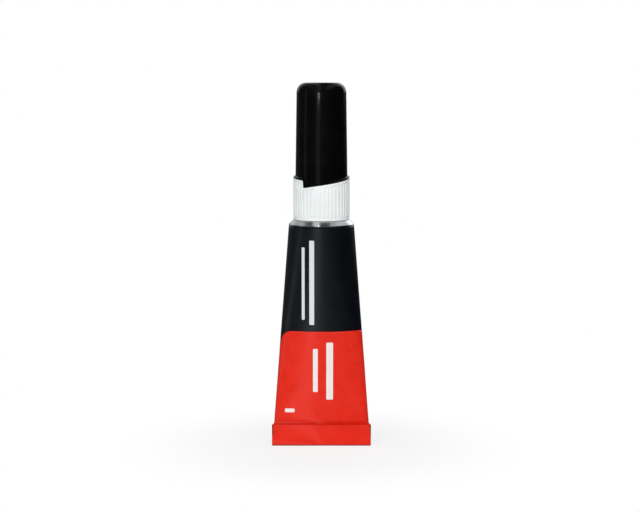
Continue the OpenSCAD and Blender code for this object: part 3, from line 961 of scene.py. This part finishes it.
def collarSection(turn):
    size = collarSizes
    outR = collarHigh.x
    valleyR = outR - size["ribDepth"]
    skirtR = outR - size["skirt"]
    socketOutR = skirtR - size["recess"]
    socketR = socketOutR - size["socket"]
    spigotR = size["spigotRadius"]
    boreR = size["bore"]
    deck = rampFoot - size["deckDrop"]
    recessTop = deck - size["recessDrop"]
    top = rampFoot + edgeRise(turn)
    spigotTop = collarHigh.z
    ribLow = collarSeat(outR) + size["lowBand"]
    ribHigh = top - size["topBand"]
    band = size["bandRound"]
    inner = size["innerRound"]
    return rounded([
        (outR, collarSeat(outR), size["footRound"]), (outR, ribLow - size["bandOut"], band),
        (valleyR, ribLow + size["bandIn"], band), (valleyR, ribHigh - size["bandIn"], band),
        (outR, ribHigh + size["bandOut"], band), (outR, top, size["topRound"]),
        (spigotR, top, size["stepRound"]), (spigotR, spigotTop, size["spigotRound"]),
        (boreR, spigotTop, size["mouthRound"]), (boreR, deck, size["deckRound"]),
        (socketR, deck, inner), (socketR, collarSeat(socketR), inner),
        (socketOutR, collarSeat(socketOutR), inner), (socketOutR, recessTop, inner),
        (skirtR, recessTop, inner), (skirtR, collarSeat(skirtR), inner)], size["arcSteps"])


ribSizes = {
    "halfWidth": 0.27, "sink": 0.06, "overlap": 0.1, "runOut": 0.88, "endShare": 0.35,
    "sides": 14, "rows": 10,
}


def makeRibTree():
    tree, given = newTree("gripRibs", ["Count", "Sides", "Rows"], [
        "Crest Radius", "Depth", "Half Width", "Low", "Length", "Start", "Step Turn", "Ramp Turn", "Span",
        "Rise", "Fall"])
    inputs = {"Vertices": given["Sides"], "Side Segments": given["Rows"], "Radius": 1.0, "Depth": 2.0}
    rod = addNode(tree, "GeometryNodeMeshCylinder", inputs, fill_type="TRIANGLE_FAN").outputs["Mesh"]
    place = placeOf(tree)
    # each rib runs out at its ends
    fromMiddle = calc(tree, "ABSOLUTE", place["Z"])
    end = remapped(tree, fromMiddle, ribSizes["runOut"], 1.0, 1.0, ribSizes["endShare"], soft=True)
    base = minus(tree, given["Crest Radius"], given["Depth"])
    spot = vectorOf(tree, X=plus(tree, base, times(tree, place["X"], given["Depth"], end)),
                    Y=times(tree, place["Y"], given["Half Width"], end),
                    Z=calc(tree, "MULTIPLY_ADD", place["Z"], 0.5, 0.5))
    rib = moved(tree, rod, spot)
    # and reaches up to the stepped edge above it
    turn = plus(tree, copyTurn(tree, given["Count"]), given["Start"])
    past = calc(tree, "FLOORED_MODULO", minus(tree, turn, given["Step Turn"]), given["Span"])
    climb = remapped(tree, past, 0.0, given["Ramp Turn"], 0.0, given["Rise"])
    fall = remapped(tree, past, given["Ramp Turn"], given["Span"], 0.0, given["Fall"])
    length = plus(tree, given["Length"], minus(tree, climb, fall))
    copies = spunCopies(tree, rib, given["Count"], turn, given["Low"], length)
    closeTree(tree, copies, given["Material"])
    return tree


def ribMesh():
    low = collarSeat(collarHigh.x) + collarSizes["lowBand"] - ribSizes["overlap"]
    top = rampFoot - edgeSizes["drop"] - collarSizes["topBand"] + ribSizes["overlap"]
    stepTurn = math.radians(edgeSizes["stepTurn"])
    return meshOf(makeRibTree(), {
        **ribSizes, "count": collarSizes["ribs"], "crestRadius": collarHigh.x,
        "depth": collarSizes["ribDepth"] + ribSizes["sink"] / 2,
        "low": low, "length": top - low, "stepTurn": stepTurn,
        "start": stepTurn + math.pi / collarSizes["ribs"],  # the steps come midway between two ribs
        "rampTurn": math.radians(edgeSizes["rampTurn"]), "span": math.radians(edgeSizes["span"]),
        "rise": edgeSizes["rise"], "fall": edgeSizes["flatFall"], "material": whiteMoulding})


capRidge = {
    "starts": 2, "steps": 61, "rootRadius": 3.65, "height": 0.6, "rootWidth": 0.95, "crestWidth": 0.456,
    "lead": 4.7077, "low": collarHigh.z - collarSizes["ridgeDrop"], "turn": 170, "start": 0, "fade": 0.08,
}
socketRidge = {
    **neckRidge, "rootRadius": 3.9, "height": -neckRidge["height"],
    "low": neckRidge["low"] + shoulderSizes["pitch"] / 2,
}
collarMesh = joined(turnedMesh(collarSection, edgeTurns()), ribMesh(),
                    ridgeMesh(capRidge, whiteMoulding), ridgeMesh(socketRidge, whiteMoulding))
collar = pieceOf("ribbedCollar", collarMesh, whiteMoulding)
ride(collar, "collar", "nozzle_collar")
print("collar: made with", collarSizes["ribs"], "ribs")


# Spout: hollow spike, flange, stem, snap bead and tapered tip

spoutSizes = {
    "outlet": 0.45, "outletLength": 4.5, "channel": 0.9, "spikeEnd": 0.62, "spike": 1.0, "spikeLength": 2.4,
    "flange": 2.8, "flangeThick": 0.5, "stem": 2.1, "play": 0.1, "beadHeight": 0.8, "tip": 1.05,
    "spikeRound": 0.05, "rootRound": 0.1, "flangeRound": 0.06, "stemRound": 0.08, "seatRound": 0.05,
    "beadRound": 0.15, "taperRound": 0.5, "tipRound": 0.2, "mouthRound": 0.12, "boreRound": 0.2,
}


def spoutSection():
    size = spoutSizes
    outletR = size["outlet"]
    channelR = size["channel"]
    flangeR = size["flange"]
    stemR = size["stem"]
    low = spoutLow.z
    top = spoutHigh.z
    flangeZ = low + size["spikeLength"]
    flangeTop = flangeZ + size["flangeThick"]
    beadZ = collarHigh.z + size["play"]
    step = channelR - outletR
    narrowZ = top - size["outletLength"]
    bore = size["boreRound"]
    return rounded([
        (outletR, low, 0), (size["spikeEnd"], low, size["spikeRound"]),
        (size["spike"], flangeZ, size["rootRound"]), (flangeR, flangeZ, size["flangeRound"]),
        (flangeR, flangeTop, size["flangeRound"]), (stemR, flangeTop, size["stemRound"]),
        (stemR, beadZ, size["seatRound"]), (flangeR, beadZ, size["beadRound"]),
        (stemR, beadZ + size["beadHeight"], size["taperRound"]), (size["tip"], top, size["tipRound"]),
        (outletR, top, size["mouthRound"]), (outletR, narrowZ, bore), (channelR, narrowZ - step, bore),
        (channelR, flangeZ + step, bore), (outletR, flangeZ, bore)])


spout = pieceOf("pouringSpout", turnedMesh(spoutSection()), naturalMoulding)
ride(spout, "spout", "nozzle_spout")


# Cap: tapered shell with a lip along the stepped edge, a ring for the liner and screw ridges inside

capSizes = {
    "base": 5.37, "top": 5.09, "taperDrop": 4.1, "corner": 1.95, "cornerGrow": 0.02, "wall": 0.9,
    "roof": 1.0, "flare": 0.4, "lipHigh": 0.22, "lipWide": 0.4, "sideRing": 0.3, "holder": 3.0,
    "holderThick": 0.6, "catch": 2.5, "catchTop": 0.8, "catchHigh": 0.7, "ridgeHeight": 1.05, "ridgeStart": 90,
    "flareRound": 0.12, "lipRound": 0.08, "footRound": 0.06, "roofRound": 0.3, "holderRound": 0.1,
    "holderEdge": 0.08, "catchRound": 0.1, "innerRound": 0.05, "arcSteps": 7,
}


def capRadius(height):
    # tapered from below the spigot's top to the cap's top
    low = collarHigh.z - capSizes["taperDrop"]
    share = (height - low) / (capHigh.z - low)
    return capSizes["base"] + (capSizes["top"] - capSizes["base"]) * share


def capSection(turn):
    size = capSizes
    top = capHigh.z
    foot = rampFoot + edgeRise(turn) + edgeSizes["gap"]
    flareTop = foot + size["flare"]
    sideLow = flareTop + size["sideRing"]
    sideTop = top - size["corner"] - size["sideRing"]
    cornerR = capRadius(top - size["corner"]) + size["cornerGrow"]
    lipR = size["base"] + size["lipWide"]
    roof = top - size["roof"]
    catchTop = roof - size["catchTop"]
    catchLow = catchTop - size["catchHigh"]
    catchR = size["catch"]
    holderR = size["holder"]
    holderOut = holderR + size["holderThick"]
    inner = size["innerRound"]
    return rounded([
        (0, top, 0), (cornerR, top, size["corner"]), (capRadius(sideTop), sideTop, 0),
        (capRadius(sideLow), sideLow, 0), (capRadius(flareTop), flareTop, size["flareRound"]),
        (lipR, foot + size["lipHigh"], size["lipRound"]), (lipR, foot, size["footRound"]),
        (capRadius(foot) - size["wall"], foot, size["footRound"]),
        (capRadius(roof) - size["wall"], roof, size["roofRound"]), (holderOut, roof, size["holderRound"]),
        (holderOut, catchLow, size["holderEdge"]), (catchR, catchLow, size["catchRound"]),
        (catchR, catchTop, inner), (holderR, catchTop, inner), (holderR, roof, inner),
        (0, roof, 0)], size["arcSteps"])


insideRidge = {
    **capRidge, "rootRadius": capSizes["base"] - capSizes["wall"] / 2, "height": -capSizes["ridgeHeight"],
    "start": capSizes["ridgeStart"],
}
capMesh = joined(turnedMesh(capSection, edgeTurns()), ridgeMesh(insideRidge, blackMoulding))
cap = pieceOf("screwCap", capMesh, blackMoulding)
ride(cap, "cap", "cap_shell")


# Liner and pin in the cap

linerSizes = {
    "radius": 2.4, "rim": 2.9, "rimThick": 0.6, "web": 3.35, "socket": 1.2945, "pinHole": 0.28, "hold": 1.8,
    "rimRound": 0.08, "neckRound": 0.05, "footRound": 0.15, "mouthRound": 0.1, "sealRound": 0.15,
    "holeRound": 0.04, "holeEnd": 0.02,
}
pinSizes = {"topRound": 0.05, "tipRound": 0.24}


def linerSection():
    size = linerSizes
    top = linerHigh.z
    rimZ = top - size["rimThick"]
    seal = top - size["web"]
    holeTop = seal + size["hold"]
    return rounded([
        (0, top, 0), (size["rim"], top, size["rimRound"]), (size["rim"], rimZ, size["rimRound"]),
        (size["radius"], rimZ, size["neckRound"]), (size["radius"], linerLow.z, size["footRound"]),
        (size["socket"], linerLow.z, size["mouthRound"]), (size["socket"], seal, size["sealRound"]),
        (size["pinHole"], seal, size["holeRound"]), (size["pinHole"], holeTop, size["holeEnd"]),
        (0, holeTop, 0)])


def pinSection():
    radius = pinHigh.x
    return rounded([
        (0, pinHigh.z, 0), (radius, pinHigh.z, pinSizes["topRound"]),
        (radius, pinLow.z, pinSizes["tipRound"]), (0, pinLow.z, 0)])


liner = pieceOf("sealingLiner", turnedMesh(linerSection()), naturalMoulding)
ride(liner, "liner", "cap_liner")
pin = pieceOf("clogPin", turnedMesh(pinSection()), steelPin)
ride(pin, "liner", "clog_pin")

# Inner parts keep their solids and get real finishes
for node, finish in (("neck_membrane", bareAluminium), ("end_seal", sealFilm)):
    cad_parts[node].material_slots[0].material = finish
print("spout, cap, liner and pin: made")


# Floor, light and camera, with places in metres

white = (1, 1, 1, 1)
black = (0, 0, 0, 1)
floorSizes = {
    "half": 3.0, "deep": (0.86, 0.86, 0.86, 1), "light": (0.89, 0.89, 0.89, 1), "dull": 0.9, "gloss": 0.1,
    # tone patches and the fade around the object, in millimetres
    "patch": 60.0, "patchRange": (0.3, 0.7), "fadeRange": (12.0, 45.0), "wash": 0.8,
}


def seenRay(tree):
    # rays that show a surface, not those that only light others
    path = addNode(tree, "ShaderNodeLightPath").outputs
    seen = calc(tree, "MAXIMUM", path["Is Camera Ray"], path["Is Glossy Ray"])
    return calc(tree, "MAXIMUM", seen, path["Is Transmission Ray"])


def makeFloorFinish():
    # pale matt floor that fades to plain white away from the object
    size = floorSizes
    finish, tree, shader, position = newFinish(
        "paleFloor", Roughness=size["dull"], Specular_IOR_Level=size["gloss"])
    tone = remapped(tree, noise(tree, position, size["patch"]), *size["patchRange"])
    feed(tree, shader, Base_Color=mixedColour(tree, tone, size["deep"], size["light"]))
    away = vectorCalc(tree, "LENGTH", {0: position}, "Value")
    faded = remapped(tree, away, *size["fadeRange"], size["wash"], 1.0, soft=True)
    glow = addNode(tree, "ShaderNodeEmission", {"Color": white, "Strength": 1.0}).outputs[0]
    inputs = {0: times(tree, seenRay(tree), faded), 1: shader.outputs[0], 2: glow}
    mixed = addNode(tree, "ShaderNodeMixShader", inputs).outputs[0]
    tree.links.new(mixed, tree.nodes["Material Output"].inputs["Surface"])
    return finish


half = floorSizes["half"]
floorCorners = [(-half, -half, 0), (half, -half, 0), (half, half, 0), (-half, half, 0)]
floorMesh = bpy.data.meshes.new("floor")
floorMesh.from_pydata(floorCorners, [], [(0, 1, 2, 3)])
floor = pieceOf("floor", floorMesh, makeFloorFinish())

skySizes = {"frontToBack": (-0.8, 0.65), "frontLevel": 1.0, "backLevel": 0.05}
world = bpy.data.worlds.new("studio")
bpy.context.scene.world = world
world.use_nodes = True
skyTree = world.node_tree
direction = partsOf(skyTree, addNode(skyTree, "ShaderNodeTexCoord").outputs["Generated"])
ambient = remapped(skyTree, direction["Y"], *skySizes["frontToBack"], skySizes["frontLevel"],
                   skySizes["backLevel"], soft=True)
sky = skyTree.nodes["Background"]
sky.inputs["Color"].default_value = white
skyTree.links.new(calc(skyTree, "MAXIMUM", ambient, seenRay(skyTree)), sky.inputs["Strength"])

tubeMiddle = (0, 0, 0.04)
lamps = {
    "softLeft": {"place": (-0.2, -0.56, 0.26), "aim": tubeMiddle, "size": (0.2, 0.4), "power": 1.08},
    "softRight": {"place": (0.16, -0.54, 0.16), "aim": tubeMiddle, "size": (0.2, 0.4), "power": 0.42},
    "softBack": {"place": (0.1, 0.6, 0.3), "aim": tubeMiddle, "size": (0.4, 0.4), "power": 1.0},
    "capGlint": {"place": (-0.0059, -0.0294, 0.0737), "aim": (-0.0005, -0.005, 0.073),
                 "size": (0.0018, 0.0005), "power": 0.0004, "onlyGlossy": True},
}


def addLamp(name, place, aim, size, power, onlyGlossy=False):
    lamp = bpy.data.lights.new(name, "AREA")
    lamp.shape = "RECTANGLE"
    lamp.size, lamp.size_y = size
    lamp.energy = power
    holder = bpy.data.objects.new(name, lamp)
    bpy.context.scene.collection.objects.link(holder)
    holder.location = place
    holder.rotation_euler = (Vector(aim) - Vector(place)).to_track_quat("-Z", "Y").to_euler()
    # a lamp either lights the set or only shows in reflections
    holder.visible_glossy = onlyGlossy
    holder.visible_diffuse = not onlyGlossy
    holder.visible_camera = False


for name, lamp in lamps.items():
    addLamp(name, **lamp)


tentSizes = {
    "hole": 0.001, "low": 0.0004, "reach": 0.8, "wall": 0.7, "top": 1.1, "topShare": 0.5, "sides": 72,
    # levels round the set, from behind by the left, the front and the right to behind again
    "round": [
        (0.0, 0.28), (0.12, 0.17), (0.262, 0.14), (0.278, 1.0), (0.29, 1.0), (0.306, 0.15), (0.37, 0.14),
        (0.43, 0.2), (0.446, 1.4), (0.47, 1.4), (0.487, 0.22), (0.53, 0.18), (0.59, 0.1), (0.65, 0.03),
        (0.78, 0.015), (0.86, 0.06), (1.0, 0.28)],
    # of which the walls give less than the floor, over this range of upward direction
    "wallShare": 0.4, "wallRange": (-0.22, -0.08),
    # the wall behind, from left to right
    "behind": [(0.3, 0.6), (0.47, 0.65), (0.53, 1.0), (0.62, 1.3)], "behindRange": (0.55, 0.7),
    "behindRise": (0.04, 0.12),
    # and overhead, from left to right
    "over": [
        (0.0, 0.04), (0.2, 0.05), (0.225, 0.55), (0.253, 0.48), (0.265, 0.14), (0.3, 0.09), (0.345, 0.08),
        (0.385, 0.7), (0.455, 0.75), (0.49, 0.06), (0.615, 0.05), (0.655, 0.4), (0.72, 0.52), (0.745, 0.72),
        (0.775, 0.72), (0.8, 0.06), (1.0, 0.04)],
    "overRange": (0.45, 0.65),
}


def makeTentFinish():
    # light by direction from the tube's middle
    size = tentSizes
    finish = bpy.data.materials.new("reflectionTent")
    finish.use_nodes = True
    tree = finish.node_tree
    tree.nodes.remove(tree.nodes["Principled BSDF"])
    place = addNode(tree, "ShaderNodeTexCoord").outputs["Object"]
    away = vectorCalc(tree, "SUBTRACT", {0: place, 1: tubeMiddle})
    part = partsOf(tree, vectorCalc(tree, "NORMALIZE", {0: away}))
    turn = calc(tree, "ARCTAN2", part["X"], times(tree, part["Y"], -1.0))
    level = ramped(tree, calc(tree, "MULTIPLY_ADD", turn, 0.5 / math.pi, 0.5), size["round"])
    dim = remapped(tree, part["Z"], *size["wallRange"], 1.0, size["wallShare"], soft=True)
    level = mixedColour(tree, dim, black, level)
    across = calc(tree, "MULTIPLY_ADD", part["X"], 0.5, 0.5)
    rear = times(tree, remapped(tree, part["Y"], *size["behindRange"], soft=True),
                 remapped(tree, part["Z"], *size["behindRise"], soft=True))
    level = mixedColour(tree, rear, level, ramped(tree, across, size["behind"]))
    upward = remapped(tree, part["Z"], *size["overRange"], soft=True)
    level = mixedColour(tree, upward, level, ramped(tree, across, size["over"]))
    light = addNode(tree, "ShaderNodeEmission", {"Color": level}).outputs[0]
    tree.links.new(light, tree.nodes["Material Output"].inputs["Surface"])
    return finish


def addTent():
    # a tent round the set, which only reflections see
    size = tentSizes
    sides = size["sides"]
    rings = [(size["hole"], size["low"]), (size["reach"], size["low"]), (size["reach"], size["wall"]),
             (size["reach"] * size["topShare"], size["top"]), (size["hole"], size["top"])]
    angles = [2 * math.pi * k / sides for k in range(sides)]
    points = []
    for reach, up in rings:
        points += [(reach * math.cos(angle), reach * math.sin(angle), up) for angle in angles]
    mesh = bpy.data.meshes.new("reflectionTent")
    mesh.from_pydata(points, [], bands(len(rings), sides))
    tent = pieceOf("reflectionTent", mesh, makeTentFinish())
    tent.visible_camera = False
    tent.visible_diffuse = False
    tent.visible_shadow = False
    tent.visible_transmission = False


addTent()

cameraSizes = {
    "lens": 93.66, "sensor": 36.0, "near": 0.01, "place": (-0.0003, -0.3436, 0.0758), "pitch": 5.95,
}
view = bpy.data.cameras.new("camera")
view.lens = cameraSizes["lens"]
view.sensor_width = cameraSizes["sensor"]
view.sensor_fit = "HORIZONTAL"
view.clip_start = cameraSizes["near"]
camera = bpy.data.objects.new("camera", view)
bpy.context.scene.collection.objects.link(camera)
camera.location = cameraSizes["place"]
camera.rotation_euler = (math.radians(90 - cameraSizes["pitch"]), 0, 0)
bpy.context.scene.camera = camera
bpy.context.scene.view_settings.view_transform = "Standard"
print("stage: floor, light and camera set")
